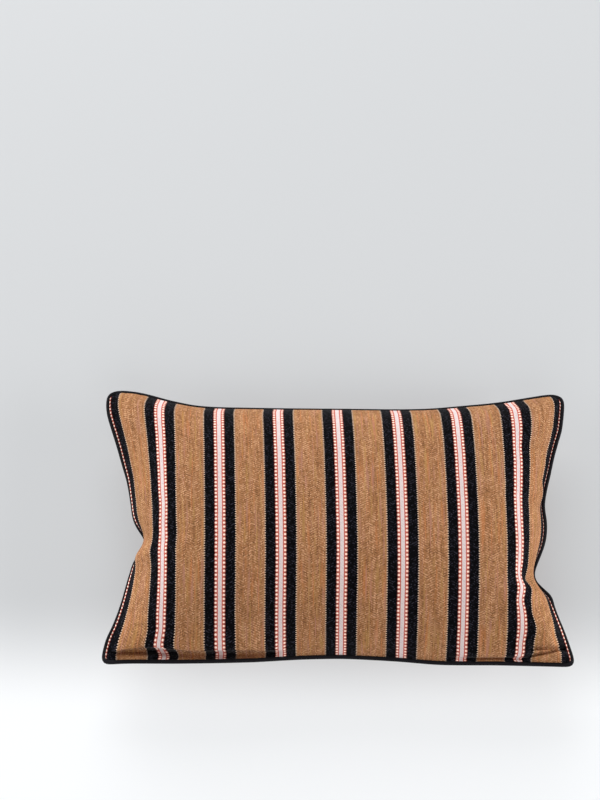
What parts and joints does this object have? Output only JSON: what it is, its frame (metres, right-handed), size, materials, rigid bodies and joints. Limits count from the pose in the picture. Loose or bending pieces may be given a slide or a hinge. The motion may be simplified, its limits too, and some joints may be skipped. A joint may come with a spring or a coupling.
{
  "type": "filled cushion cover",
  "caption": "Oblong filled cushion cover in woven striped cloth, with black piping all round the seam and drawn-in sides, lying on its back.",
  "frame": {"origin": "centre of the box's bottom, on the flat spot of the back that the cushion lies on", "axes": "+X along the width, +Y towards the top edge as it stands in the picture, +Z out of the face"},
  "size_m": [0.5016, 0.3028, 0.118],
  "materials": {
    "striped_cloth": "woven tan cloth with black, brick red and off-white warp stripes, matt",
    "black_piping": "plain black cotton over a cord, matt"
  },
  "bodies": {
    "root": {"cushion": "striped_cloth", "piping": "black_piping"}
  },
  "joints": []
}
